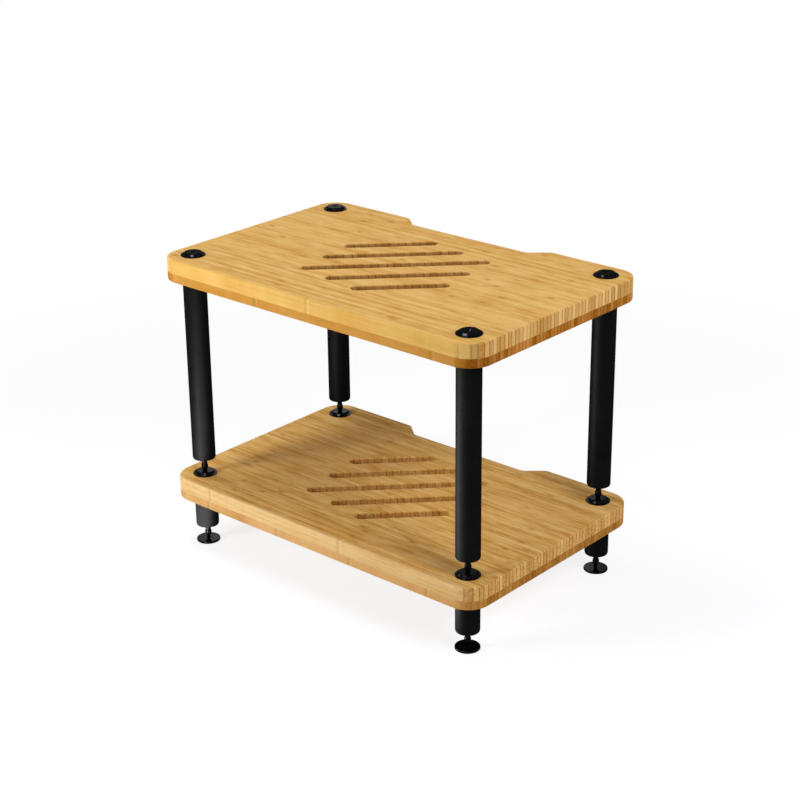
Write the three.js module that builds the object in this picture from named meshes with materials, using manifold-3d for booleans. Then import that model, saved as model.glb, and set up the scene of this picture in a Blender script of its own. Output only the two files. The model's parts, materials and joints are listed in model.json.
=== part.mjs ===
// Two-tier stacking stand: two laminated bamboo shelves on steel tube legs.
// The upper tier stands on four spikes in the pits of the lower tier's cap bolts,
// and the lower tier stands on four spikes in floor discs.
// Millimetres, +Z up, -Y is the front. The origin is on the floor, under the middle of the stand.

import * as THREE from 'three';
import { mergeVertices } from 'three/addons/utils/BufferGeometryUtils.js';
import Module from 'manifold-3d';

const wasm = await Module();
wasm.setup();

// Shelves
const shelfWidth = 600;
const shelfDepth = 384;
const paleLayerThickness = 21;
const darkLayerThickness = 14;
const shelfCornerRadius = 36;
const arrisRadius = 2.5;

// Cable notch in the back edge of each shelf
const notchFloorLength = 220;
const notchDepth = 24;
const notchShoulderRun = 28;
const notchCornerRadius = 14;

// Diagonal ventilation slots, the longest in the middle
const slotCount = 5;
const slotWidth = 17;
const slotPitch = 49;
const slotMiddleLength = 274;
const slotStep = 68;
const slotAngle = THREE.MathUtils.degToRad(45);

// Legs
const legInset = 38;
const tubeDiameter = 35.5;
const tubeWall = 1.5;
const upperLegLength = 292;
const lowerLegLength = 52;

// End plugs, one in each end of a tube
const plugLipThickness = 2.4;
const plugLipInset = 0.4;
const plugLipChamfer = 1.2;
const plugBodyLength = 14;

// Cap bolts
const capFlangeDiameter = 36.5;
const capFlangeThickness = 1.4;
const capFlangeChamfer = 0.6;
const capCrownDiameter = 28;
const capCrownHeight = 5;
const capCrownRounding = 2.6;
const capCrownFlare = 0.8;
const capPitFloor = 0.5;
const capPitMouthDiameter = 8;
const boltDiameter = 10;
const boltEngagement = 12;

// Spikes
const spikeDiameter = 10;
const spikeReach = 25.8;
const spikeConeLength = 9.3;
const spikeTipDiameter = 0.8;
const studEngagement = 15;

// Floor discs
const discDiameter = 36.5;
const discThickness = 3.4;
const discEdgeRounding = 1;
const discFootChamfer = 0.5;
const discPitFloor = 1.5;
const discPitMouthDiameter = 7;

// Clearances
const plugClearance = 0.15;
const threadClearance = 0.3;
const boltHoleClearance = 0.5;
const tipClearance = 0.3;
const threadChamfer = 1;

// Facets
const roundFacets = 16;
const spikeFacets = 12;
const boltHoleFacets = 12;
const cornerFacets = 3;
const arrisFacets = 2;
const edgeFacets = 2;

// Heights, worked out from the floor up
const shelfThickness = paleLayerThickness + darkLayerThickness;
const lowerLegFoot = discPitFloor + tipClearance + spikeReach;
const lowerShelfTop = lowerLegFoot + lowerLegLength + shelfThickness;
const upperLegFoot = lowerShelfTop + capPitFloor + tipClearance + spikeReach;

// The flat at the bottom of each pit, just wider than a spike's tip
const pitFloorRadius = spikeTipDiameter / 2 + tipClearance;

const corners = [
  { name: 'front_left', x: -1, y: -1 },
  { name: 'front_right', x: 1, y: -1 },
  { name: 'back_left', x: -1, y: 1 },
  { name: 'back_right', x: 1, y: 1 },
];
const legAxes = corners.map((corner) => ({
  name: corner.name,
  x: corner.x * (shelfWidth / 2 - legInset),
  y: corner.y * (shelfDepth / 2 - legInset),
}));

const paleBamboo = { color: 0xd9ad66, roughness: 0.45, metalness: 0 };
const darkBamboo = { color: 0xb5803f, roughness: 0.5, metalness: 0 };
const satinBlack = { color: 0x1a1a1b, roughness: 0.5, metalness: 0.3 };
const glossBlack = { color: 0x0b0b0d, roughness: 0.2, metalness: 0.5 };

function makeMesh(name, geometry, finish) {
  const mesh = new THREE.Mesh(geometry, new THREE.MeshStandardMaterial(finish));
  mesh.name = name;
  return mesh;
}

// Booleans: a closed geometry becomes a solid, and a solid becomes a geometry again
function solidFrom(geometry) {
  const bare = geometry.clone();
  bare.deleteAttribute('normal');
  bare.deleteAttribute('uv');
  const merged = mergeVertices(bare);
  return new wasm.Manifold(new wasm.Mesh({
    numProp: 3,
    vertProperties: new Float32Array(merged.attributes.position.array),
    triVerts: new Uint32Array(merged.index.array),
  }));
}

function geometryFrom(solid) {
  const mesh = solid.getMesh();
  const geometry = new THREE.BufferGeometry();
  geometry.setAttribute('position', new THREE.BufferAttribute(new Float32Array(mesh.vertProperties), 3));
  geometry.setIndex(new THREE.BufferAttribute(new Uint32Array(mesh.triVerts), 1));
  return geometry;
}

// Turns a profile of [radius, height] points round the vertical axis. The profile runs up its outer side.
function turned(profile, facets) {
  const points = profile.map(([radius, height]) => new THREE.Vector2(radius, height));
  return new THREE.LatheGeometry(points, facets).rotateX(Math.PI / 2);
}

// Profile points of a rounded top edge, from the side at outerRadius to the top at topHeight
function roundedTopEdge(outerRadius, topHeight, rounding) {
  const points = [];
  for (let step = 0; step <= edgeFacets; step += 1) {
    const angle = (step / edgeFacets) * (Math.PI / 2);
    points.push([
      outerRadius - rounding + rounding * Math.cos(angle),
      topHeight - rounding + rounding * Math.sin(angle),
    ]);
  }
  return points;
}

// A closed outline with its corners rounded by arcs, run anticlockwise
function roundedOutline(vertices) {
  const shape = new THREE.Shape();
  vertices.forEach((vertex, index) => {
    const corner = new THREE.Vector2(vertex.x, vertex.y);
    const before = vertices[(index + vertices.length - 1) % vertices.length];
    const after = vertices[(index + 1) % vertices.length];
    const arriving = corner.clone().sub(new THREE.Vector2(before.x, before.y)).normalize();
    const leaving = new THREE.Vector2(after.x, after.y).sub(corner).normalize();
    const turn = Math.atan2(arriving.cross(leaving), arriving.dot(leaving));
    const side = Math.sign(turn);
    const setback = vertex.radius * Math.tan(Math.abs(turn) / 2);
    const start = corner.clone().addScaledVector(arriving, -setback);
    const inward = new THREE.Vector2(-arriving.y, arriving.x).multiplyScalar(side);
    const centre = start.clone().addScaledVector(inward, vertex.radius);
    const startAngle = Math.atan2(start.y - centre.y, start.x - centre.x);
    shape.absarc(centre.x, centre.y, vertex.radius, startAngle, startAngle + turn, side < 0);
  });
  shape.closePath();
  return shape;
}

// The shelf's outline: a rounded rectangle whose back edge steps in at the cable notch
function shelfOutline() {
  const right = shelfWidth / 2;
  const back = shelfDepth / 2;
  const notchHalfFloor = notchFloorLength / 2;
  const notchHalfMouth = notchHalfFloor + notchShoulderRun;
  return roundedOutline([
    { x: -right, y: -back, radius: shelfCornerRadius },
    { x: right, y: -back, radius: shelfCornerRadius },
    { x: right, y: back, radius: shelfCornerRadius },
    { x: notchHalfMouth, y: back, radius: notchCornerRadius },
    { x: notchHalfFloor, y: back - notchDepth, radius: notchCornerRadius },
    { x: -notchHalfFloor, y: back - notchDepth, radius: notchCornerRadius },
    { x: -notchHalfMouth, y: back, radius: notchCornerRadius },
    { x: -right, y: back, radius: shelfCornerRadius },
  ]);
}

// One round-ended slot, set off sideways from the middle of the shelf
function slotOutline(offset, length) {
  const along = new THREE.Vector2(Math.cos(slotAngle), Math.sin(slotAngle));
  const middle = new THREE.Vector2(-along.y, along.x).multiplyScalar(offset);
  const endRadius = slotWidth / 2;
  const farEnd = middle.clone().addScaledVector(along, length / 2 - endRadius);
  const nearEnd = middle.clone().addScaledVector(along, endRadius - length / 2);
  const quarter = Math.PI / 2;
  const path = new THREE.Path();
  path.absarc(farEnd.x, farEnd.y, endRadius, slotAngle - quarter, slotAngle + quarter, false);
  path.absarc(nearEnd.x, nearEnd.y, endRadius, slotAngle + quarter, slotAngle + 3 * quarter, false);
  path.closePath();
  return path;
}

// The whole shelf as one board with rounded arrises, its underside at height 0 and its bolt holes drilled
function shelfBoard() {
  const outline = shelfOutline();
  const middleSlot = (slotCount - 1) / 2;
  for (let index = 0; index < slotCount; index += 1) {
    const place = index - middleSlot;
    outline.holes.push(slotOutline(place * slotPitch, slotMiddleLength - Math.abs(place) * slotStep));
  }
  const board = new THREE.ExtrudeGeometry(outline, {
    depth: shelfThickness - 2 * arrisRadius,
    curveSegments: cornerFacets,
    bevelThickness: arrisRadius,
    bevelSize: arrisRadius,
    bevelOffset: -arrisRadius,
    bevelSegments: arrisFacets,
  });
  board.translate(0, 0, arrisRadius);
  let solid = solidFrom(board);
  const holeRadius = boltDiameter / 2 + boltHoleClearance;
  for (const axis of legAxes) {
    const drill = new THREE.CylinderGeometry(holeRadius, holeRadius, 2 * shelfThickness, boltHoleFacets);
    drill.rotateX(Math.PI / 2);
    drill.translate(axis.x, axis.y, shelfThickness / 2);
    solid = solid.subtract(solidFrom(drill));
  }
  return solid;
}

// The slice of a shelf board between two heights
function boardLayer(board, bottom, top) {
  const slice = new THREE.BoxGeometry(2 * shelfWidth, 2 * shelfDepth, top - bottom);
  slice.translate(0, 0, (top + bottom) / 2);
  return geometryFrom(board.intersect(solidFrom(slice)));
}

// Cap bolt: a crowned head with a flange and a conical pit, on a shank. Height 0 is the shelf's top face.
function capGeometry() {
  const flangeRadius = capFlangeDiameter / 2;
  const shankRadius = boltDiameter / 2;
  const shankEnd = -(shelfThickness + boltEngagement);
  return turned([
    [0, shankEnd],
    [shankRadius - threadChamfer, shankEnd],
    [shankRadius, shankEnd + threadChamfer],
    [shankRadius, 0],
    [flangeRadius, 0],
    [flangeRadius, capFlangeThickness - capFlangeChamfer],
    [flangeRadius - capFlangeChamfer, capFlangeThickness],
    [capCrownDiameter / 2 + capCrownFlare, capFlangeThickness],
    ...roundedTopEdge(capCrownDiameter / 2, capCrownHeight, capCrownRounding),
    [capPitMouthDiameter / 2, capCrownHeight],
    [pitFloorRadius, capPitFloor],
    [0, capPitFloor],
  ], roundFacets);
}

// Leg tube, open at both ends. Height 0 is its lower end.
function tubeGeometry(length) {
  const outer = tubeDiameter / 2;
  const inner = outer - tubeWall;
  return turned([[inner, 0], [outer, 0], [outer, length], [inner, length], [inner, 0]], roundFacets);
}

// End plug with a threaded bore: a chamfered lip that covers the tube's end, and a body inside the tube.
// Height 0 is the lip's outer face, and the body lies above it.
function plugProfile() {
  const bore = boltDiameter / 2 + threadClearance;
  const lip = tubeDiameter / 2 - plugLipInset;
  const body = tubeDiameter / 2 - tubeWall - plugClearance;
  const top = plugLipThickness + plugBodyLength;
  return [
    [bore, 0],
    [lip - plugLipChamfer, 0],
    [lip, plugLipChamfer],
    [lip, plugLipThickness],
    [body, plugLipThickness],
    [body, top],
    [bore, top],
    [bore, 0],
  ];
}

function footPlugGeometry() {
  return turned(plugProfile(), roundFacets);
}

// The same plug upside down, so its body hangs below height 0
function headPlugGeometry() {
  return turned(plugProfile().map(([radius, height]) => [radius, -height]).reverse(), roundFacets);
}

// Spike: a cone under a round neck that runs on up as the threaded stud. Height 0 is its tip.
function spikeGeometry() {
  const radius = spikeDiameter / 2;
  const top = spikeReach + studEngagement;
  return turned([
    [0, 0],
    [spikeTipDiameter / 2, 0],
    [radius, spikeConeLength],
    [radius, top - threadChamfer],
    [radius - threadChamfer, top],
    [0, top],
  ], spikeFacets);
}

// Floor disc with a pit for the spike's tip. Height 0 is its underside.
function discGeometry() {
  const radius = discDiameter / 2;
  return turned([
    [0, 0],
    [radius - discFootChamfer, 0],
    [radius, discFootChamfer],
    ...roundedTopEdge(radius, discThickness, discEdgeRounding),
    [discPitMouthDiameter / 2, discThickness],
    [pitFloorRadius, discPitFloor],
    [0, discPitFloor],
  ], roundFacets);
}

// One tier: a shelf of two glued layers, and under each corner a tube with its plugs and its spike
function makeTier(tierName, legFoot, legLength) {
  const tier = new THREE.Group();
  const shelfUnderside = legFoot + legLength;
  const board = shelfBoard();
  const paleLayer = boardLayer(board, darkLayerThickness, shelfThickness);
  const darkLayer = boardLayer(board, 0, darkLayerThickness);
  const shelf = new THREE.Group();
  shelf.position.z = shelfUnderside;
  shelf.add(makeMesh(`${tierName}_shelf_pale_layer`, paleLayer, paleBamboo));
  shelf.add(makeMesh(`${tierName}_shelf_dark_layer`, darkLayer, darkBamboo));
  tier.add(shelf);

  const tubeLength = legLength - 2 * plugLipThickness;
  for (const axis of legAxes) {
    const leg = new THREE.Group();
    leg.position.set(axis.x, axis.y, legFoot);
    const addPiece = (pieceName, geometry, finish, height) => {
      const piece = makeMesh(`${tierName}_${pieceName}_${axis.name}`, geometry, finish);
      piece.position.z = height;
      leg.add(piece);
    };
    addPiece('cap', capGeometry(), glossBlack, legLength + shelfThickness);
    addPiece('head_plug', headPlugGeometry(), satinBlack, legLength);
    addPiece('tube', tubeGeometry(tubeLength), satinBlack, plugLipThickness);
    addPiece('foot_plug', footPlugGeometry(), satinBlack, 0);
    addPiece('spike', spikeGeometry(), glossBlack, -spikeReach);
    tier.add(leg);
  }
  return tier;
}

// The floor discs, one under each lower spike
function makeFloorDiscs() {
  const discs = new THREE.Group();
  for (const axis of legAxes) {
    const disc = makeMesh(`floor_disc_${axis.name}`, discGeometry(), glossBlack);
    disc.position.set(axis.x, axis.y, 0);
    discs.add(disc);
  }
  return discs;
}

const stand = new THREE.Group();
stand.add(makeFloorDiscs());
stand.add(makeTier('lower', lowerLegFoot, lowerLegLength));
stand.add(makeTier('upper', upperLegFoot, upperLegLength));

export default stand;
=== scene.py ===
import json
import math
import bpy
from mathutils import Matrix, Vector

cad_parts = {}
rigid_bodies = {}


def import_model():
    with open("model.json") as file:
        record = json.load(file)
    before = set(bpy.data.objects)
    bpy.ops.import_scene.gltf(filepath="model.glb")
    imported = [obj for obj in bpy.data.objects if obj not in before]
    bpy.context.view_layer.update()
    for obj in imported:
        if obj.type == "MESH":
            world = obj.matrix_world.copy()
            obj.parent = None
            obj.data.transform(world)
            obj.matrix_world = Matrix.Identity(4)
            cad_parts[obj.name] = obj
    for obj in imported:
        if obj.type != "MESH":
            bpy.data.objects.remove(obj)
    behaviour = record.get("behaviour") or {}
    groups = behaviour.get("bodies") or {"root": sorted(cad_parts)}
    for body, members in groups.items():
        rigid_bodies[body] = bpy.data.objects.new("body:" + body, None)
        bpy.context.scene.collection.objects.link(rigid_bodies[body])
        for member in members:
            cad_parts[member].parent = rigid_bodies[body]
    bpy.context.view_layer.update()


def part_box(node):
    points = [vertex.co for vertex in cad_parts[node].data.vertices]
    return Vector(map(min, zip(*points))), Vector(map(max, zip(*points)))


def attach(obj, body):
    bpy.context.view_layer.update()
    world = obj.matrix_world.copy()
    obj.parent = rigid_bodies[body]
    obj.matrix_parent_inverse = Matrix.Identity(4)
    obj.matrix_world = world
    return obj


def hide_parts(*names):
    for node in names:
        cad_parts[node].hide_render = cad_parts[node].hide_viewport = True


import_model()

from types import SimpleNamespace

import bmesh
import bpy
import numpy as np
from mathutils import Matrix, Vector
from mathutils.geometry import tessellate_polygon

# A two-tier stand of laminated bamboo shelves on black tube legs, dressed piece by piece.
# Metres, +Z up, the front is -Y.

tiers = ["lower", "upper"]
cornerNames = ["front_left", "front_right", "back_left", "back_right"]
mm = 0.001
mergeDistance = 1e-7  # points closer than this are one point
nearZero = 1e-12  # a length or an area too small to count


def legAxis(corner):
    # The middle of a leg: the middle of its floor disc
    low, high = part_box(f"floor_disc_{corner}")
    return np.array([(low.x + high.x) / 2, (low.y + high.y) / 2])


def unit(vectors):
    return vectors / np.linalg.norm(vectors, axis=-1, keepdims=True)


def roundedPath(corners, steps, support, closed=True):
    # Corners [u, v, radius] in the plane. Each becomes the arc that touches both of its sides, as
    # centre + radius * (cos angle, sin angle), with one more point a little way along each side,
    # so that flat runs stay flat in the shading. Normals point to the right of the way it runs.
    spots = np.array(corners, float)
    points, radii = spots[:, :2], spots[:, 2]
    arriving = unit(points - np.roll(points, 1, axis=0) + nearZero)
    leaving = unit(np.roll(points, -1, axis=0) - points + nearZero)
    cross = arriving[:, 0] * leaving[:, 1] - arriving[:, 1] * leaving[:, 0]
    turn = np.arctan2(cross, (arriving * leaving).sum(axis=1))
    side = np.where(turn < 0, -1.0, 1.0)
    setback = radii * np.tan(np.abs(turn) / 2)
    inward = np.stack([-arriving[:, 1], arriving[:, 0]], axis=1) * side[:, None]
    start = points - arriving * setback[:, None]
    centre = start + inward * radii[:, None]
    startAngle = np.arctan2(-inward[:, 1], -inward[:, 0])
    angle = startAngle[:, None] + turn[:, None] * np.linspace(0, 1, steps + 1)
    rim = np.stack([np.cos(angle), np.sin(angle)], axis=2)
    arc = centre[:, None] + rim * radii[:, None, None]
    lead = arc[:, :1] - arriving[:, None] * support
    tail = arc[:, -1:] + leaving[:, None] * support
    normals = rim * side[:, None, None]
    path = np.concatenate([lead, arc, tail], axis=1).reshape(-1, 2)
    outward = np.concatenate([normals[:, :1], normals, normals[:, -1:]], axis=1).reshape(-1, 2)
    if not closed:
        # An open path keeps its two end points as they are
        run = len(path) // len(points)  # the points that each corner became
        path = np.concatenate([points[:1], path[run:-run], points[-1:]])
        outward = np.concatenate([outward[run:run + 1], outward[run:-run], outward[-run - 1:-run]])
    gap = np.linalg.norm(path - np.roll(path, 1, axis=0), axis=1)
    keep = gap > mergeDistance
    keep[0] = keep[0] or not closed
    return path[keep], outward[keep]


def newObject(name, mesh):
    piece = bpy.data.objects.new(name, mesh)
    bpy.context.scene.collection.objects.link(piece)
    return piece


def finishPiece(piece, node, body, material):
    piece.data.materials.append(material)
    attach(piece, body)
    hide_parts(node)


turning = {
    "facets": 96, "cornerSteps": 6, "support": 0.12 * mm, "sharpAngle": math.radians(35), "uvPerMetre": 10,
}


def gridMesh(name, grid, lengths, closed):
    # grid[row, column] is a point. Columns close on themselves, rows do so only if asked.
    # The UV map holds the share of a turn in u and the way along the profile, in decimetres, in v.
    rows, columns = grid.shape[:2]
    index = np.arange(rows * columns).reshape(rows, columns)
    below = np.roll(index, -1, axis=0) if closed else index[1:]
    above = index if closed else index[:-1]
    quads = np.stack([
        above, np.roll(above, -1, axis=1), np.roll(below, -1, axis=1), below], axis=2).reshape(-1, 4)
    mesh = bpy.data.meshes.new(name)
    mesh.from_pydata(grid.reshape(-1, 3).tolist(), [], quads.tolist())
    turnShare = np.arange(columns + 1) / columns
    way = np.append(lengths, 2 * lengths[-1] - lengths[-2]) * turning["uvPerMetre"]
    left, right = [np.broadcast_to(share, above.shape) for share in (turnShare[:-1], turnShare[1:])]
    top = np.broadcast_to(way[:len(above), None], above.shape)
    bottom = np.broadcast_to(way[1:len(above) + 1, None], above.shape)
    uv = np.stack([left, top, right, top, right, bottom, left, bottom], axis=2)
    mesh.uv_layers.new(name="turned").data.foreach_set("uv", uv.astype(np.float32).ravel())
    shape = bmesh.new()
    shape.from_mesh(mesh)
    bmesh.ops.remove_doubles(shape, verts=shape.verts, dist=mergeDistance)
    shape.to_mesh(mesh)
    shape.free()
    mesh.shade_smooth()
    mesh.set_sharp_from_angle(angle=turning["sharpAngle"])
    return mesh


def turned(name, corners, axis, closed=False):
    # A rounded profile of [radius, height] carried round a vertical axis:
    # (axis x + radius cos angle, axis y + radius sin angle, height)
    profile = roundedPath(corners, turning["cornerSteps"], turning["support"], closed)[0]
    angle = np.linspace(0, 2 * np.pi, turning["facets"], endpoint=False)
    radius, height = profile[:, :1], profile[:, 1:]
    grid = np.stack([
        axis[0] + radius * np.cos(angle),
        axis[1] + radius * np.sin(angle),
        height + 0 * angle], axis=2)
    lengths = np.concatenate([[0], np.cumsum(np.linalg.norm(np.diff(profile, axis=0), axis=1))])
    return newObject(name, gridMesh(name, grid, lengths, closed))


class Wire:
    # One output of a node tree. Operators on it add Math nodes.
    def __init__(self, tree, socket=None):
        self.tree = tree
        self.socket = socket

    def node(self, kind, settings=None, inputs=None, output=0):
        # Any other node: its settings first, then a value or a wire for each input
        made = self.tree.nodes.new(kind)
        for key, value in (settings or {}).items():
            if key == "stops":
                fillRamp(made.color_ramp, value)
            else:
                setattr(made, key, value)
        for key, value in (inputs or {}).items():
            if isinstance(value, Wire):
                self.tree.links.new(value.socket, made.inputs[key])
            else:
                made.inputs[key].default_value = value
        return Wire(self.tree, made.outputs[output])

    def math(self, operation, *values):
        return self.node("ShaderNodeMath", {"operation": operation}, dict(enumerate(values)))

    def __add__(self, other):
        return self.math("ADD", self, other)

    def __radd__(self, other):
        return self.math("ADD", other, self)

    def __sub__(self, other):
        return self.math("SUBTRACT", self, other)

    def __rsub__(self, other):
        return self.math("SUBTRACT", other, self)

    def __mul__(self, other):
        return self.math("MULTIPLY", self, other)

    def __rmul__(self, other):
        return self.math("MULTIPLY", other, self)

    def __truediv__(self, other):
        return self.math("DIVIDE", self, other)

    def __rtruediv__(self, other):
        return self.math("DIVIDE", other, self)

    def __pow__(self, other):
        return self.math("POWER", self, other)

    def __rpow__(self, other):
        return self.math("POWER", other, self)

    def fade(self, start, end):
        # 0 at start, 1 at end, smooth between. Start may be above end.
        low, high, rising = (start, end, True) if start < end else (end, start, False)
        return self.node("ShaderNodeMapRange", {"interpolation_type": "SMOOTHSTEP"}, {
            "Value": self, "From Min": low, "From Max": high,
            "To Min": 0.0 if rising else 1.0, "To Max": 1.0 if rising else 0.0})

    def combine(self, x, y, z):
        return self.node("ShaderNodeCombineXYZ", None, {"X": x, "Y": y, "Z": z})

    def parts(self):
        # The x, y and z of a vector
        return [self.node("ShaderNodeSeparateXYZ", None, {"Vector": self}, output=axis) for axis in "XYZ"]

    def noise(self, vector, detail=2.0, roughness=0.5, scale=1.0):
        return self.node("ShaderNodeTexNoise", {"noise_dimensions": "3D"}, {
            "Vector": vector, "Scale": scale, "Detail": detail, "Roughness": roughness})

    def mixColour(self, blend, factor, first, second):
        # The Mix node's colours are its inputs 6 and 7, and their mix is its output 2
        return self.node("ShaderNodeMix", {"data_type": "RGBA", "blend_type": blend}, {
            0: factor, 6: first, 7: second}, output=2)


def fillRamp(ramp, stops):
    while len(ramp.elements) > 1:
        ramp.elements.remove(ramp.elements[-1])
    ramp.elements[0].position, ramp.elements[0].color = stops[0]
    for position, colour in stops[1:]:
        ramp.elements.new(position).color = colour


def srgb(red, green, blue):
    # A colour as a screen shows it, 0 to 255, made linear by the sRGB curve
    share = np.array([red, green, blue]) / 255
    linear = np.where(share <= 0.04045, share / 12.92, ((share + 0.055) / 1.055) ** 2.4)
    return (*linear.tolist(), 1.0)


def startMaterial(name, constants):
    # A Principled material: constants go on its own sockets. Returns the material, a wire and the shader.
    material = bpy.data.materials.new(name)
    material.use_nodes = True
    shader = material.node_tree.nodes["Principled BSDF"]
    for key, value in constants.items():
        shader.inputs[key].default_value = value
    return material, Wire(material.node_tree), shader


def plug(wire, shader, socket):
    wire.tree.links.new(wire.socket, shader.inputs[socket])


def plugBump(height, shader, relief):
    bump = height.node("ShaderNodeBump", None, {
        "Height": height, "Strength": relief["strength"], "Distance": relief["depth"]}, output="Normal")
    plug(bump, shader, "Normal")


def objectPoint(wire):
    # The point on the piece in metres
    return wire.node("ShaderNodeTexCoord", output="Object")


# along and across are a pattern's cells in a metre along the cane and across it, apart is how far
# a strip's own numbers move it in the pattern, and noise is detail and roughness. Pairs of edges
# are where something starts and where it is whole.
bamboo = {
    "shader": {"IOR": 1.5, "Specular IOR Level": 0.02},
    "strips": {
        "width": 7.8 * mm, "randomness": 0.45, "tone": 0.22, "endTone": 0.5, "endShade": 0.63,
        "leanTone": 0.34, "waver": 0.5 * mm, "waverAlong": 3.0, "waverAcross": 40.0},
    "front": {"edges": (1.02, 0.98), "calm": 0.45},
    "slow": {"tone": 0.42, "along": 9.0, "apart": (90.0, 40.0), "noise": (3.0, 0.6)},
    "patches": {"tone": 0.68, "along": 22.0, "across": 60.0, "noise": (3.0, 0.6)},
    "streaks": {"tone": 0.55, "along": 9.0, "across": 330.0, "apart": 30.0, "noise": (4.0, 0.65)},
    "fibres": {"tone": 0.3, "along": 60.0, "across": 1500.0, "noise": (2.0, 0.7)},
    "toneStops": (0.0, 0.3, 0.5, 0.7, 1.0),
    "glue": {
        "halfWidth": 0.45 * mm, "endHalfWidth": 1.1 * mm, "faintest": 0.08, "darkest": 0.7, "rarity": 5.0,
        "along": 4.0, "apart": 50.0, "shift": 7.0, "runEdges": (0.4, 0.6), "endFaintest": 0.45},
    "joints": {
        "spacing": 0.255, "closest": 0.8, "spread": 0.5, "apart": (13.0, 5.0), "strengthApart": (7.0, 3.0),
        "rarity": 2.0, "faintest": 0.05, "frontStrength": 0.32, "edges": (10.5 * mm, 0.8 * mm),
        "crown": 2.2, "share": 0.8},
    "ragged": {
        "reach": 3 * mm, "frontCalm": 0.8, "along": 60.0, "across": (200.0, 120.0), "apart": 9.0},
    "tails": {
        "share": 0.75, "edges": (22 * mm, 2 * mm), "raggedEdges": (0.42, 0.62), "streakEdges": (0.62, 0.4)},
    "flanks": {"share": 0.35, "away": 4.6 * mm, "edges": (2.4 * mm, 0.4 * mm)},
    "dots": {
        "share": 0.6, "scale": 1250.0, "randomness": 0.9, "edges": (0.42, 0.2), "least": 0.35, "lean": 1.6},
    "rough": {"all": 0.42, "streaks": 0.14, "marks": 0.12, "endGrain": 0.1},
    "relief": {
        "fibres": 0.3, "streaks": 0.5, "glue": 0.6, "dots": 0.4, "marks": 0.3,
        "strength": 0.3, "depth": 0.03 * mm},
}

# In each layer, the tint of the slot walls is painted shade, and the tint of the front is painted light
bambooLayers = {
    "upper_shelf_pale_layer": {
        "seed": 3.1, "frontNodeAt": 0.003, "frontNodeSpacing": 0.36,
        "contrast": 1.0, "fine": 1.0, "endContrast": 2.3, "endLines": 1.35, "slotShadeTint": (208, 194, 178),
        "tones": [(203, 133, 36), (226, 169, 80), (240, 190, 106), (249, 205, 124), (254, 222, 148)],
        "line": (178, 106, 28), "mark": (204, 132, 48), "endTint": (238, 238, 248),
        "frontLightTint": (1.03, 1.07, 1.12)},
    "lower_shelf_pale_layer": {
        "seed": 41.7, "frontNodeAt": 0.053, "frontNodeSpacing": 0.2655,
        "contrast": 1.15, "fine": 2.6, "endContrast": 1.2, "endLines": 1.4, "slotShadeTint": (224, 212, 192),
        "tones": [(196, 130, 43), (221, 166, 82), (235, 186, 105), (244, 200, 122), (251, 217, 144)],
        "line": (170, 104, 32), "mark": (196, 126, 46), "endTint": (254, 250, 255),
        "frontLightTint": (0.94, 0.98, 1.26)},
    "upper_shelf_dark_layer": {
        "seed": 87.3, "frontNodeAt": -0.098, "frontNodeSpacing": 0.326,
        "contrast": 1.0, "fine": 1.0, "endContrast": 2.3, "endLines": 0.8, "slotShadeTint": (208, 194, 178),
        "tones": [(130, 70, 4), (170, 110, 32), (193, 135, 56), (208, 152, 80), (226, 172, 108)],
        "line": (112, 58, 8), "mark": (140, 82, 22), "endTint": (240, 224, 196),
        "frontLightTint": (1.11, 1.08, 0.95)},
    "lower_shelf_dark_layer": {
        "seed": 129.9, "frontNodeAt": -0.072, "frontNodeSpacing": 0.145,
        "contrast": 1.2, "fine": 1.0, "endContrast": 1.0, "endLines": 0.6, "slotShadeTint": (224, 212, 192),
        "tones": [(145, 90, 30), (186, 132, 68), (209, 159, 95), (223, 177, 117), (238, 197, 146)],
        "line": (128, 76, 26), "mark": (160, 102, 44), "endTint": (236, 214, 158),
        "frontLightTint": (1.08, 1.03, 0.98)},
}


def bambooPoint(wire, name, layer):
    # What the pattern knows of a point: its place, whether it lies on the front, on end grain or on
    # a slot wall, which takes painted shade, its way from the strip's middle and edge, in strips, and the
    # strip's three own numbers
    strips = bamboo["strips"]
    x, y, z = objectPoint(wire).parts()
    endGrain, routed = [
        wire.node("ShaderNodeAttribute", {"attribute_name": key}, output="Fac")
        for key in ("endGrain", "routed")]
    waverPoint = wire.combine(x * strips["waverAlong"], y * strips["waverAcross"], layer["seed"])
    waver = wire.noise(waverPoint, detail=1.0)
    place = (y + (waver - 0.5) * strips["waver"]) / strips["width"] + layer["seed"]
    settings = {"voronoi_dimensions": "1D", "feature": "F1"}
    inputs = {"W": place, "Scale": 1.0, "Randomness": strips["randomness"]}
    cell = wire.node("ShaderNodeTexVoronoi", settings, inputs, output="Color")
    middle = wire.node("ShaderNodeTexVoronoi", settings, inputs, output="W")
    edgeSettings = {**settings, "feature": "DISTANCE_TO_EDGE"}
    toEdge = wire.node("ShaderNodeTexVoronoi", edgeSettings, inputs, output="Distance")
    first, second, third = [
        wire.node("ShaderNodeSeparateColor", None, {"Color": cell}, output=band)
        for band in ("Red", "Green", "Blue")]
    # The front is the first strip behind the front face
    frontEdges = [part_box(name)[0].y + strips["width"] * edge for edge in bamboo["front"]["edges"]]
    return SimpleNamespace(
        x=x, y=y, z=z, endGrain=endGrain, routed=routed, isFront=y.fade(*frontEdges),
        across=place - middle, toEdge=toEdge, first=first, second=second, third=third)


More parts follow.
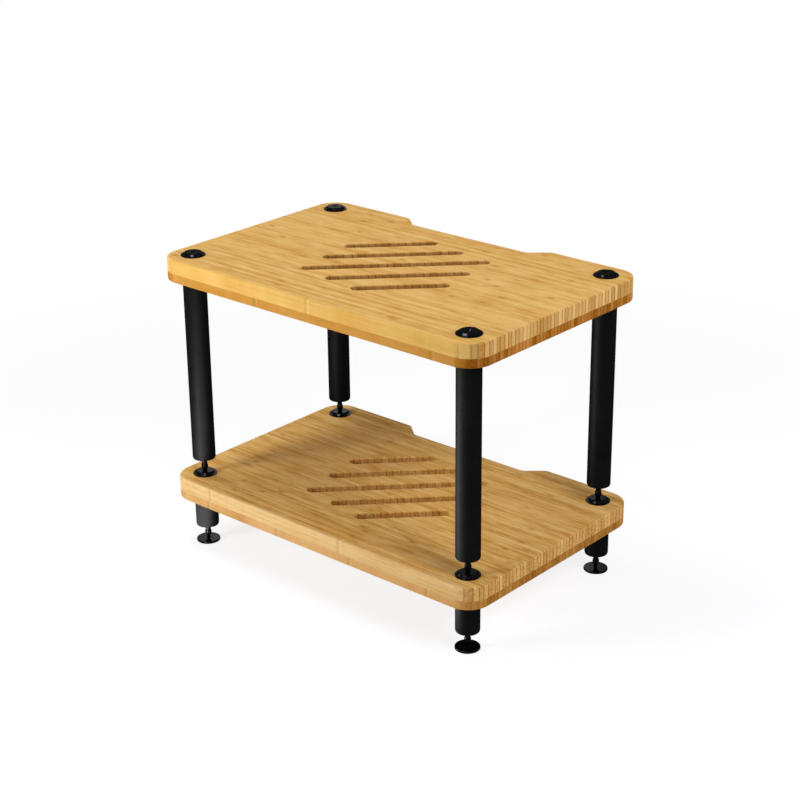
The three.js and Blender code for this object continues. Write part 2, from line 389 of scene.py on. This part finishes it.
def bambooGrain(wire, at, layer):
    # Tone of the strip, slowly along it, across it, and the streaks and fibres. 0.5 is the middle
    # of a noise and of a strip's own number.
    strips, slow, patches, streaks, fibres = [
        bamboo[key] for key in ("strips", "slow", "patches", "streaks", "fibres")]
    slowPoint = wire.combine(
        at.x * slow["along"], at.first * slow["apart"][0], at.third * slow["apart"][1])
    patchPoint = wire.combine(at.x * patches["along"], at.y * patches["across"], layer["seed"])
    streakPoint = wire.combine(
        at.x * streaks["along"], at.y * streaks["across"],
        at.z * streaks["across"] + at.first * streaks["apart"])
    fibrePoint = wire.combine(at.x * fibres["along"], at.y * fibres["across"], at.z * fibres["across"])
    slowTone = wire.noise(slowPoint, *slow["noise"])
    patchTone = wire.noise(patchPoint, *patches["noise"])
    streakTone = wire.noise(streakPoint, *streaks["noise"])
    fibreTone = wire.noise(fibrePoint, *fibres["noise"])
    lean = (at.second - 0.5) * at.across
    drift = (slowTone - 0.5) * slow["tone"] + (patchTone - 0.5) * patches["tone"]
    drift = drift + (streakTone - 0.5) * (streaks["tone"] * layer["fine"])
    drift = drift * (1 - at.isFront * bamboo["front"]["calm"])
    endTone = layer["endContrast"] * strips["endTone"] - 1
    ownTone = (at.first - 0.5) * strips["tone"] * (1 + at.endGrain * endTone)
    tone = 0.5 + (ownTone + drift + lean * strips["leanTone"]) * layer["contrast"]
    tone = tone + (fibreTone - 0.5) * (fibres["tone"] * layer["fine"])
    return tone, lean, streakTone, fibreTone


def bambooGlue(wire, at, layer):
    # Glue lines between the strips: most are faint, a few run dark for a hand's length
    glue = bamboo["glue"]
    halfWidth = glue["halfWidth"] + (glue["endHalfWidth"] - glue["halfWidth"]) * at.endGrain
    line = 1 - (at.toEdge * bamboo["strips"]["width"] / halfWidth).fade(0.0, 1.0)
    runPoint = wire.combine(
        at.x * glue["along"], at.first * glue["apart"] + glue["shift"], at.third * glue["apart"])
    runs = wire.noise(runPoint, detail=1.0).fade(*glue["runEdges"])
    faint = glue["faintest"] + at.third ** glue["rarity"] * runs * glue["darkest"]
    atEnd = (glue["endFaintest"] + (1 - glue["endFaintest"]) * at.third) * layer["endLines"]
    return line * (faint + (atEnd - faint) * at.endGrain)


def bambooJoints(wire, at, layer, streakTone):
    # The joints of the cane: a band across the strip, with a brown streak that runs out of it, and
    # on the front a pale flank beside the band
    joints, ragged, tails, flanks = [bamboo[key] for key in ("joints", "ragged", "tails", "flanks")]
    inside = 1 - at.isFront
    spacing = joints["spacing"] * (joints["closest"] + joints["spread"] * at.second)
    inner = at.x / spacing + at.third * joints["apart"][0] + at.first * joints["apart"][1]
    outer = (at.x - layer["frontNodeAt"]) / layer["frontNodeSpacing"] + 0.5
    phase = inner + (outer - inner) * at.isFront
    period = spacing + (layer["frontNodeSpacing"] - spacing) * at.isFront
    raggedPoint = wire.combine(
        at.x * ragged["along"], at.y * ragged["across"][0],
        at.z * ragged["across"][1] + at.third * ragged["apart"])
    edge = wire.noise(raggedPoint)
    signedWay = (wire.math("FRACT", phase) - 0.5) * period
    signedWay = signedWay + (edge - 0.5) * ragged["reach"] * (1 - at.isFront * ragged["frontCalm"])
    way = wire.math("ABSOLUTE", signedWay)
    ownNumber = at.first * joints["strengthApart"][0] + at.second * joints["strengthApart"][1]
    strength = wire.math("FRACT", ownNumber) ** joints["rarity"]
    strength = strength * (1 - joints["faintest"]) + joints["faintest"]
    strength = strength + (joints["frontStrength"] - strength) * at.isFront
    crown = wire.math("MAXIMUM", 1 - (at.across * at.across * joints["crown"]) * inside, 0.0)
    band = (way * (1 + at.isFront)).fade(*joints["edges"]) * crown
    tail = way.fade(*tails["edges"]) * edge.fade(*tails["raggedEdges"])
    tail = tail * streakTone.fade(*tails["streakEdges"])
    mark = wire.math("MAXIMUM", band * joints["share"], tail * tails["share"] * inside)
    mark = mark * strength * (1 - at.endGrain)
    beside = wire.math("ABSOLUTE", signedWay - flanks["away"]).fade(*flanks["edges"])
    return mark, beside * at.isFront * flanks["share"]


def bambooDots(wire, at, lean):
    # The cut ends of the fibre bundles as fine dots, closer together on one side of a strip
    dots = bamboo["dots"]
    toDot = wire.node("ShaderNodeTexVoronoi", {"voronoi_dimensions": "2D", "feature": "F1"}, {
        "Vector": wire.combine(at.y, at.z, 0.0), "Scale": dots["scale"], "Randomness": dots["randomness"]},
        output="Distance")
    return toDot.fade(*dots["edges"]) * (dots["least"] + lean * dots["lean"]) * at.endGrain


def bambooMaterial(name):
    # Solid laminated bamboo: strips side by side in y, each with its own tone, fibres along x,
    # a joint every so often along it, and dotted end grain on the ends
    layer, strips, rough, relief = bambooLayers[name], bamboo["strips"], bamboo["rough"], bamboo["relief"]
    material, wire, shader = startMaterial(name, bamboo["shader"])
    at = bambooPoint(wire, name, layer)
    tone, lean, streakTone, fibreTone = bambooGrain(wire, at, layer)
    glue = bambooGlue(wire, at, layer)
    mark, flank = bambooJoints(wire, at, layer, streakTone)
    dotted = bambooDots(wire, at, lean)

    tones = [srgb(*colour) for colour in layer["tones"]]
    line = srgb(*layer["line"])
    colour = wire.node("ShaderNodeValToRGB", {"stops": list(zip(bamboo["toneStops"], tones))}, {"Fac": tone})
    colour = wire.mixColour("MIX", glue, colour, line)
    colour = wire.mixColour("MIX", mark, colour, srgb(*layer["mark"]))
    colour = wire.mixColour("MIX", flank, colour, tones[-1])
    colour = wire.mixColour("MIX", dotted * bamboo["dots"]["share"], colour, line)
    shade = 1 + (at.first - 0.5) * (layer["endContrast"] * strips["tone"] * strips["endShade"])
    colour = wire.mixColour("MULTIPLY", at.endGrain, colour, wire.combine(shade, shade, shade))
    colour = wire.mixColour("MULTIPLY", at.endGrain, colour, srgb(*layer["endTint"]))
    # Painted shade: the slot walls are darkened by this tint, on top of their end grain, because the slots
    # lie in shade
    colour = wire.mixColour("MULTIPLY", at.routed, colour, srgb(*layer["slotShadeTint"]))
    # Painted light: the front face and the strip behind it are tinted towards the colour and brightness that
    # the front light gives them
    colour = wire.mixColour("MULTIPLY", at.isFront, colour, (*layer["frontLightTint"], 1.0))
    plug(colour, shader, "Base Color")

    roughness = rough["all"] + (streakTone - 0.5) * rough["streaks"]
    roughness = roughness + mark * rough["marks"] + at.endGrain * rough["endGrain"]
    plug(roughness, shader, "Roughness")
    height = (fibreTone - 0.5) * relief["fibres"] + (streakTone - 0.5) * relief["streaks"]
    height = height - glue * relief["glue"] - dotted * relief["dots"] + mark * relief["marks"]
    plugBump(height, shader, relief)
    return material


shelf = {
    "cornerRadius": 36 * mm,
    "arrisRadius": 2.5 * mm,
    "notchFloorLength": 220 * mm,
    "notchDepth": 24 * mm,
    "notchShoulderRun": 28 * mm,
    "notchCornerRadius": 14 * mm,
    "slotWidth": 17 * mm,
    "slotPitch": 49 * mm,
    "slotMiddleLength": 274 * mm,
    "slotStep": 68 * mm,
    "slotAngle": math.radians(45),
    "boltHoleRadius": 5.5 * mm,
    "boltHoleFacets": 32,
    "slotsEachSide": 2,
    "slotEndShare": 0.9999,  # of half a slot's width, so that the two arcs of an end stay apart
    "cornerSteps": 24,
    "arrisSteps": 7,
    "support": 0.4 * mm,
    "sharpAngle": math.radians(40),
}


def shelfLoops(low, high):
    # Every edge of the shelf seen from above, with the wood on the left of the way it runs:
    # the outline, the five slots and the four bolt holes. Each is points, outward normals,
    # whether its edge is rounded, and whether it is a slot.
    notchHalfFloor = shelf["notchFloorLength"] / 2
    notchHalfMouth = notchHalfFloor + shelf["notchShoulderRun"]
    notchFloor = high.y - shelf["notchDepth"]
    big, small = shelf["cornerRadius"], shelf["notchCornerRadius"]
    outline = [
        [low.x, low.y, big], [high.x, low.y, big], [high.x, high.y, big],
        [notchHalfMouth, high.y, small], [notchHalfFloor, notchFloor, small],
        [-notchHalfFloor, notchFloor, small], [-notchHalfMouth, high.y, small], [low.x, high.y, big]]
    loops = [(*roundedPath(outline, shelf["cornerSteps"], shelf["support"]), True, False)]
    along = np.array([math.cos(shelf["slotAngle"]), math.sin(shelf["slotAngle"])])
    sideways = np.array([-along[1], along[0]])
    half = shelf["slotWidth"] / 2
    for place in range(-shelf["slotsEachSide"], shelf["slotsEachSide"] + 1):
        reach = (shelf["slotMiddleLength"] - abs(place) * shelf["slotStep"]) / 2
        middle = sideways * place * shelf["slotPitch"]
        ring = [
            [*(middle + along * end * reach + sideways * side * half), half * shelf["slotEndShare"]]
            for end, side in ((1, 1), (1, -1), (-1, -1), (-1, 1))]
        loops.append((*roundedPath(ring, shelf["cornerSteps"] // 2, 0.0), True, True))
    angle = -np.linspace(0, 2 * np.pi, shelf["boltHoleFacets"], endpoint=False)
    rim = np.stack([np.cos(angle), np.sin(angle)], axis=1)
    for corner in cornerNames:
        loops.append((legAxis(corner) + rim * shelf["boltHoleRadius"], -rim, False, False))
    return loops


def shelfLayer(name, loops):
    # One glued layer. Each loop carries a side profile, from the top face down:
    # point = edge - inset * normal, at the profile's height. The faces are cut between the loops.
    low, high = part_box(name)
    pale = "pale" in name
    radius, support = shelf["arrisRadius"], shelf["support"]
    angle = np.linspace(0, np.pi / 2, shelf["arrisSteps"] + 1)
    inset = np.concatenate([[radius + support], radius * (1 - np.sin(angle)), [0, 0]])
    drop = np.concatenate([[0], radius * (1 - np.cos(angle)), [radius + support, high.z - low.z]])
    tilt = np.concatenate([[0], np.sin(angle), [1, 1]])
    # The pale layer is rounded above, and the dark one below
    height = high.z - drop if pale else low.z + drop
    if not pale:
        inset, height, tilt = inset[::-1], height[::-1], tilt[::-1]
    rows = len(height)
    vertices, faces, endGrain, routed, topRings, bottomRings, count = [], [], [], [], [], [], 0
    for edge, normal, isRounded, isSlot in loops:
        columns = len(edge)
        setIn = inset if isRounded else 0 * inset
        plan = edge[None] - setIn[:, None, None] * normal[None]
        level = np.broadcast_to(height[:, None, None], (rows, columns, 1))
        vertices.append(np.concatenate([plan, level], axis=2).reshape(-1, 3))
        endGrain.append((np.abs(normal[None, :, 0]) * tilt[:, None]).reshape(-1))
        # A mask for painted shade on the slot walls: none on the top face, full down the wall
        routed.append((isSlot * tilt[:, None] ** 2 + 0 * normal[None, :, 0]).reshape(-1))
        index = count + np.arange(rows * columns).reshape(rows, columns)
        upper, lower = index[:-1], index[1:]
        faces.append(np.stack([
            lower, np.roll(lower, -1, axis=1), np.roll(upper, -1, axis=1), upper], axis=2).reshape(-1, 4))
        topRings.append(index[0])
        bottomRings.append(index[-1])
        count += rows * columns
    vertices = np.concatenate(vertices)
    quads = np.concatenate(faces).tolist()
    caps = capFaces(vertices, topRings, 1) + capFaces(vertices, bottomRings, -1)
    mesh = bpy.data.meshes.new(name)
    mesh.from_pydata(vertices.tolist(), [], quads + caps)
    for key, values in (("endGrain", endGrain), ("routed", routed)):
        attribute = mesh.attributes.new(key, "FLOAT", "POINT")
        attribute.data.foreach_set("value", np.concatenate(values).astype(np.float32))
    mesh.shade_smooth()
    mesh.set_sharp_from_angle(angle=shelf["sharpAngle"])
    return newObject(name + "_bamboo", mesh)


def capFaces(vertices, rings, facing):
    # The flat face between rings, cut into triangles that face up (1) or down (-1)
    index = np.concatenate(rings)
    outlines = [[Vector(vertices[spot]) for spot in ring] for ring in rings]
    cut = np.array(tessellate_polygon(outlines))
    a, b, c = [vertices[index[cut[:, side]]][:, :2] for side in range(3)]
    area = (b[:, 0] - a[:, 0]) * (c[:, 1] - a[:, 1]) - (b[:, 1] - a[:, 1]) * (c[:, 0] - a[:, 0])
    cut = np.where((area * facing > 0)[:, None], cut, cut[:, ::-1])[np.abs(area) > nearZero]
    return index[cut].tolist()


def makeShelves():
    for tier in tiers:
        loops = shelfLoops(*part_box(f"{tier}_shelf_pale_layer"))
        for kind in ("pale", "dark"):
            node = f"{tier}_shelf_{kind}_layer"
            finishPiece(shelfLayer(node, loops), node, f"{tier}_tier", bambooMaterial(node))
    print("shelves made")


satinBlack = {
    "shader": {
        "IOR": 1.5, "Specular IOR Level": 0.0, "Coat Weight": 0.012, "Coat Roughness": 0.55, "Coat IOR": 3.0},
    "base": (8, 8, 8), "light": (17, 17, 17), "roughness": 0.42,
    "pebbles": {"scale": 2600.0, "tone": 0.25, "rough": 0.1},
    "cloud": {"scale": 38.0, "edges": (0.3, 0.7), "tone": 0.55, "rough": 0.12},
    "specks": {"scale": 900.0, "edges": (0.66, 0.76), "tone": 0.2},
    "relief": {"strength": 0.35, "depth": 0.05 * mm},
}

glossBlack = {
    "shader": {
        "IOR": 1.5, "Specular IOR Level": 0.0, "Coat Weight": 0.016, "Coat Roughness": 0.17, "Coat IOR": 3.0},
    "base": (5, 5, 7), "light": (10, 10, 13), "roughness": 0.22,
    "rings": {"along": 900.0, "tone": 0.4, "rough": 0.06},
    "smudge": {"scale": 160.0, "edges": (0.35, 0.7), "tone": 0.6, "roughEdges": (0.4, 0.8), "rough": 0.1},
    "scratches": {"scales": (2600.0, 300.0, 900.0), "edges": (0.68, 0.78), "rough": 0.15, "height": 0.3},
    "relief": {"strength": 0.2, "depth": 0.02 * mm},
}


def satinBlackMaterial():
    # Powder coat: a fine pebbled skin, slightly uneven in tone and sheen
    pebbles, cloud, specks = [satinBlack[key] for key in ("pebbles", "cloud", "specks")]
    material, wire, shader = startMaterial("satinBlackPowderCoat", satinBlack["shader"])
    point = objectPoint(wire)
    pebbled = wire.noise(point, detail=2.0, roughness=0.6, scale=pebbles["scale"])
    clouded = wire.noise(point, detail=3.0, scale=cloud["scale"])
    specked = wire.noise(point, detail=1.0, scale=specks["scale"]).fade(*specks["edges"])
    tone = clouded.fade(*cloud["edges"]) * cloud["tone"] + pebbled * pebbles["tone"]
    tone = tone + specked * specks["tone"]
    colour = wire.mixColour("MIX", tone, srgb(*satinBlack["base"]), srgb(*satinBlack["light"]))
    plug(colour, shader, "Base Color")
    roughness = satinBlack["roughness"] + (clouded - 0.5) * cloud["rough"]
    roughness = roughness + (pebbled - 0.5) * pebbles["rough"]
    plug(roughness, shader, "Roughness")
    plugBump(pebbled, shader, satinBlack["relief"])
    return material


def glossBlackMaterial():
    # Gloss black over turned steel: fine rings from the lathe, faint handling marks
    rings, smudge, scratches = [glossBlack[key] for key in ("rings", "smudge", "scratches")]
    material, wire, shader = startMaterial("glossBlackPlating", glossBlack["shader"])
    point = objectPoint(wire)
    turnedUv = wire.node("ShaderNodeUVMap", {"uv_map": "turned"})
    along = wire.node("ShaderNodeSeparateXYZ", None, {"Vector": turnedUv}, output="Y")
    ringed = wire.noise(wire.combine(along * rings["along"], 0.0, 0.0), detail=3.0, roughness=0.7)
    smudged = wire.noise(point, detail=3.0, scale=smudge["scale"])
    scratchPoint = wire.combine(*[way * scale for way, scale in zip(point.parts(), scratches["scales"])])
    scratched = wire.noise(scratchPoint).fade(*scratches["edges"])
    tone = smudged.fade(*smudge["edges"]) * smudge["tone"] + ringed * rings["tone"]
    colour = wire.mixColour("MIX", tone, srgb(*glossBlack["base"]), srgb(*glossBlack["light"]))
    plug(colour, shader, "Base Color")
    roughness = glossBlack["roughness"] + smudged.fade(*smudge["roughEdges"]) * smudge["rough"]
    roughness = roughness + ringed * rings["rough"] + scratched * scratches["rough"]
    plug(roughness, shader, "Roughness")
    plugBump(ringed + scratched * scratches["height"], shader, glossBlack["relief"])
    return material


cap = {
    "flangeThickness": 1.4 * mm, "flangeRounding": 0.6 * mm, "underFlangeRounding": 0.15 * mm,
    "crownRadius": 13.0 * mm, "crownFlare": 2.0 * mm,
    "crownRounding": 1.6 * mm, "crownFootRounding": 0.5 * mm,
    "pitMouthRadius": 4 * mm, "pitFloor": 0.5 * mm, "pitFloorRadius": 0.7 * mm,
    "pitMouthRounding": 0.6 * mm, "pitFloorRounding": 0.2 * mm,
    "shankRadius": 5 * mm, "shankRounding": 0.8 * mm,
}
tube = {"wall": 1.5 * mm, "endRounding": 0.35 * mm}
endPlug = {
    "lipThickness": 2.4 * mm, "lipRounding": 1.3 * mm, "lipInnerRounding": 0.1 * mm,
    "boreRadius": 5.3 * mm, "boreRounding": 0.3 * mm, "wallGap": 1.65 * mm, "bodyRounding": 0.4 * mm,
}
spike = {
    "radius": 5 * mm, "coneLength": 9.3 * mm, "tipRadius": 0.4 * mm, "tipRounding": 0.15 * mm,
    "shoulderRounding": 0.8 * mm, "collarLength": 4.8 * mm, "taperLength": 2.0 * mm,
    "neckRadius": 4.0 * mm, "neckRounding": 0.5 * mm, "neckTopTaper": 1.5 * mm, "neckTopGap": 1.5 * mm,
    "studRounding": 0.8 * mm,
}
disc = {
    "edgeRounding": 1.0 * mm, "footRounding": 0.5 * mm, "pitMouthRadius": 3.5 * mm, "pitFloor": 1.5 * mm,
    "pitFloorRadius": 0.7 * mm, "pitMouthRounding": 0.5 * mm, "pitFloorRounding": 0.2 * mm,
}


def boxSizes(node):
    # A round node's axis, radius, bottom and top
    low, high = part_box(node)
    return np.array([(low.x + high.x) / 2, (low.y + high.y) / 2]), (high.x - low.x) / 2, low.z, high.z


def pitCorners(sizes, top, floor):
    # A conical pit, from its mouth to the middle of its floor
    return [
        [sizes["pitMouthRadius"], top, sizes["pitMouthRounding"]],
        [sizes["pitFloorRadius"], floor, sizes["pitFloorRounding"]], [0, floor, 0]]


def capPiece(node):
    # A flanged, crowned head with a conical pit, on a shank that runs down through the shelf
    axis, flange, bottom, top = boxSizes(node)
    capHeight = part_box("upper_cap_front_left")[1].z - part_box("upper_shelf_pale_layer")[1].z
    seat = top - capHeight
    flangeTop = seat + cap["flangeThickness"]
    shank, crown = cap["shankRadius"], cap["crownRadius"]
    return turned(node + "_turned", [
        [0, bottom, 0], [shank, bottom, cap["shankRounding"]], [shank, seat, 0],
        [flange, seat, cap["underFlangeRounding"]], [flange, flangeTop, cap["flangeRounding"]],
        [crown + cap["crownFlare"], flangeTop, cap["crownFootRounding"]], [crown, top, cap["crownRounding"]],
        *pitCorners(cap, top, seat + cap["pitFloor"])], axis)


def tubePiece(node):
    axis, radius, bottom, top = boxSizes(node)
    inner, edge = radius - tube["wall"], tube["endRounding"]
    return turned(node + "_steel", [
        [inner, bottom, edge], [radius, bottom, edge], [radius, top, edge], [inner, top, edge]],
        axis, closed=True)


def plugPiece(node, tubeNode):
    # A lip that covers the tube's end and a body inside the tube. Up = 1 when the body lies above the lip.
    axis, lip, bottom, top = boxSizes(node)
    up = 1 if "foot" in node else -1
    face, far = (bottom, top) if up > 0 else (top, bottom)
    step = face + up * endPlug["lipThickness"]
    body = boxSizes(tubeNode)[1] - endPlug["wallGap"]
    bore, boreRounding = endPlug["boreRadius"], endPlug["boreRounding"]
    corners = [
        [bore, face, boreRounding], [lip, face, endPlug["lipRounding"]],
        [lip, step, endPlug["lipInnerRounding"]], [body, step, 0],
        [body, far, endPlug["bodyRounding"]], [bore, far, boreRounding]]
    return turned(node + "_moulded", corners[::up], axis, closed=True)


def spikePiece(node):
    # From the tip: a cone, a collar, a thinner neck up to the plug, and the stud inside the plug
    axis, _, bottom, top = boxSizes(node)
    shoulder = bottom + spike["coneLength"]
    collarTop = shoulder + spike["collarLength"]
    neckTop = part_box(node.replace("spike", "foot_plug"))[0].z - spike["neckTopGap"]
    thick, thin = spike["radius"], spike["neckRadius"]
    shoulderRounding, neckRounding = spike["shoulderRounding"], spike["neckRounding"]
    return turned(node + "_turned", [
        [0, bottom, 0], [spike["tipRadius"], bottom, spike["tipRounding"]],
        [thick, shoulder, shoulderRounding], [thick, collarTop, shoulderRounding],
        [thin, collarTop + spike["taperLength"], neckRounding],
        [thin, neckTop - spike["neckTopTaper"], neckRounding],
        [thick, neckTop, neckRounding], [thick, top, spike["studRounding"]], [0, top, 0]], axis)


def discPiece(node):
    axis, radius, bottom, top = boxSizes(node)
    return turned(node + "_turned", [
        [0, bottom, 0], [radius, bottom, disc["footRounding"]], [radius, top, disc["edgeRounding"]],
        *pitCorners(disc, top, bottom + disc["pitFloor"])], axis)


def makeLegs():
    satin, gloss = satinBlackMaterial(), glossBlackMaterial()
    for tier in tiers:
        for corner in cornerNames:
            capNode, tubeNode = f"{tier}_cap_{corner}", f"{tier}_tube_{corner}"
            finishPiece(capPiece(capNode), capNode, f"{tier}_tier", gloss)
            finishPiece(tubePiece(tubeNode), tubeNode, f"{tier}_tier", satin)
            for end in ("head", "foot"):
                plugNode = f"{tier}_{end}_plug_{corner}"
                finishPiece(plugPiece(plugNode, tubeNode), plugNode, f"{tier}_tier", satin)
            spikeNode = f"{tier}_spike_{corner}"
            finishPiece(spikePiece(spikeNode), spikeNode, f"{tier}_foot_{corner}", gloss)
        print(tier, "legs made")
    for corner in cornerNames:
        discNode = f"floor_disc_{corner}"
        finishPiece(discPiece(discNode), discNode, f"floor_shoe_{corner}", gloss)
    print("floor discs made")


view = {
    "yaw": math.radians(41.22), "pitch": math.radians(22.41), "roll": math.radians(-0.57),
    "aim": (-0.007, 0.015, 0.25), "distance": 2.729, "lens": 81.8, "sensorWidth": 36, "clip": (0.05, 50),
}


def makeCamera():
    # Looks along the line from the camera to the aim, turned about it by the roll
    yaw, pitch, roll = view["yaw"], view["pitch"], view["roll"]
    back = Vector((math.sin(yaw) * math.cos(pitch), -math.cos(yaw) * math.cos(pitch), math.sin(pitch)))
    right = (-back).cross(Vector((0, 0, 1))).normalized()
    up = right.cross(-back)
    turnedRight = right * math.cos(roll) + up * math.sin(roll)
    turnedUp = up * math.cos(roll) - right * math.sin(roll)
    data = bpy.data.cameras.new("camera")
    data.lens, data.sensor_width, data.sensor_fit = view["lens"], view["sensorWidth"], "HORIZONTAL"
    data.clip_start, data.clip_end = view["clip"]
    camera = newObject("camera", data)
    place = Matrix((turnedRight, turnedUp, back)).transposed().to_4x4()
    place.translation = Vector(view["aim"]) + back * view["distance"]
    camera.matrix_world = place
    bpy.context.scene.camera = camera
    print("camera placed")


studio = {
    "floorSize": 12.0, "floorDrop": 0.1 * mm, "bounceTone": 0.8, "shownTone": 0.3, "floorLift": 0.8,
    "shadowReach": (0.75, 1.5), "ambient": 0.04, "aim": (0.0, 0.0, 0.25),
    "lamps": {
        "topLamp": {"at": (-0.6, -0.1, 1.9), "size": 0.5, "watts": 10.4, "colour": (1.0, 0.99, 0.98)},
        "frontLamp": {"at": (-0.6, -1.27, 0.56), "size": 0.38, "watts": 12.6, "colour": (0.95, 1.0, 1.08)},
        "sideLamp": {"at": (1.77, -0.31, 1.51), "size": 0.8, "watts": 19.3, "colour": (1.0, 1.01, 1.09)},
        "sideBackLamp": {"at": (1.5, 0.9, 1.1), "size": 0.8, "watts": 5.5, "colour": (1.0, 1.04, 1.3)},
        "backLamp": {"at": (0.6, 2.0, 1.3), "size": 0.9, "watts": 4.0, "colour": (1.0, 1.0, 1.0)},
        "leftLamp": {"at": (-1.9, 0.2, 1.0), "size": 0.9, "watts": 2.0, "colour": (1.0, 1.0, 1.0)},
    },
    "softboxes": {
        "capSoftbox": {"at": (0.12, -0.7, 0.85), "aim": (0.0, 0.0, 0.5), "size": (0.5, 0.4), "watts": 28.0},
        "tubeSoftbox": {
            "at": (-0.15, -0.45, 0.1), "aim": (0.35, -0.1, 0.1), "size": (0.35, 0.18), "watts": 10.5},
        "floorCard": {
            "at": (-0.12, -0.26, 0.002), "aim": (-0.12, -0.26, 1.0), "size": (0.62, 0.16), "watts": 12.0},
        "backSoftbox": {"at": (-0.8, 0.9, 0.42), "aim": (0.0, 0.0, 0.2), "size": (0.9, 0.7), "watts": 25.0},
    },
}
white = (1, 1, 1, 1)


def seenDirectly(wire):
    # 1 for rays that come from the camera, from gloss or through glass
    rays = [wire.node("ShaderNodeLightPath", output=kind)
            for kind in ("Is Camera Ray", "Is Glossy Ray", "Is Transmission Ray")]
    return wire.math("MAXIMUM", wire.math("MAXIMUM", rays[0], rays[1]), rays[2])


def plugSurface(wire, kind):
    out = wire.tree.nodes.new(kind)
    wire.tree.links.new(wire.socket, out.inputs["Surface"])


def makeFloor():
    # Matt for the light that it sends on. Seen directly it shows the shadow near the stand and
    # is plain white further out.
    half = studio["floorSize"] / 2
    corners = [(-half, -half), (half, -half), (half, half), (-half, half)]
    mesh = bpy.data.meshes.new("floor")
    mesh.from_pydata([(x, y, -studio["floorDrop"]) for x, y in corners], [], [(0, 1, 2, 3)])
    floor = newObject("floor", mesh)
    material = bpy.data.materials.new("paleFloor")
    material.use_nodes = True
    material.node_tree.nodes.clear()
    wire = Wire(material.node_tree)
    away = wire.node("ShaderNodeVectorMath", {"operation": "LENGTH"}, {0: objectPoint(wire)}, output="Value")
    matt, shownMatt = [
        wire.node("ShaderNodeBsdfDiffuse", None, {"Color": (tone, tone, tone, 1)})
        for tone in (studio["bounceTone"], studio["shownTone"])]
    lift, plainWhite = [
        wire.node("ShaderNodeEmission", None, {"Color": white, "Strength": strength})
        for strength in (studio["floorLift"], 1.0)]
    lit = wire.node("ShaderNodeAddShader", None, {0: shownMatt, 1: lift})
    beyondShadow = away.fade(*studio["shadowReach"])
    shown = wire.node("ShaderNodeMixShader", None, {0: beyondShadow, 1: lit, 2: plainWhite})
    surface = wire.node("ShaderNodeMixShader", None, {0: seenDirectly(wire), 1: matt, 2: shown})
    plugSurface(surface, "ShaderNodeOutputMaterial")
    mesh.materials.append(material)
    print("floor laid")


def makeWorld():
    # A faint light all round, and plain white where the world is seen directly
    world = bpy.data.worlds.new("studio")
    bpy.context.scene.world = world
    world.use_nodes = True
    world.node_tree.nodes.clear()
    wire = Wire(world.node_tree)
    ambient, plainWhite = [
        wire.node("ShaderNodeBackground", None, {"Color": white, "Strength": strength})
        for strength in (studio["ambient"], 1.0)]
    both = wire.node("ShaderNodeMixShader", None, {0: seenDirectly(wire), 1: ambient, 2: plainWhite})
    plugSurface(both, "ShaderNodeOutputWorld")
    print("world made")


def areaLight(name, at, aim, size, watts):
    data = bpy.data.lights.new(name, "AREA")
    data.shape, data.size, data.size_y = "RECTANGLE", size[0], size[1]
    data.energy = watts
    light = newObject(name, data)
    light.location = at
    light.rotation_euler = (Vector(aim) - Vector(at)).to_track_quat("-Z", "Y").to_euler()
    light.visible_camera = False
    return light


def makeLamps():
    for name, lamp in studio["lamps"].items():
        light = areaLight(name, lamp["at"], studio["aim"], (lamp["size"], lamp["size"]), lamp["watts"])
        light.data.color = lamp["colour"]
        light.visible_glossy = False
    # Softboxes that only the black pieces' gloss shows
    blackPieces = bpy.data.collections.new("blackPieces")
    for piece in bpy.context.scene.objects:
        if piece.type == "MESH" and piece.data.materials and "Black" in piece.data.materials[0].name:
            blackPieces.objects.link(piece)
    for name, box in studio["softboxes"].items():
        light = areaLight(name, box["at"], box["aim"], box["size"], box["watts"])
        light.visible_diffuse = False
        light.light_linking.receiver_collection = blackPieces
    print("lamps placed")


makeCamera()
makeShelves()
makeLegs()
makeFloor()
makeWorld()
makeLamps()
bpy.context.scene.view_settings.view_transform = "Standard"
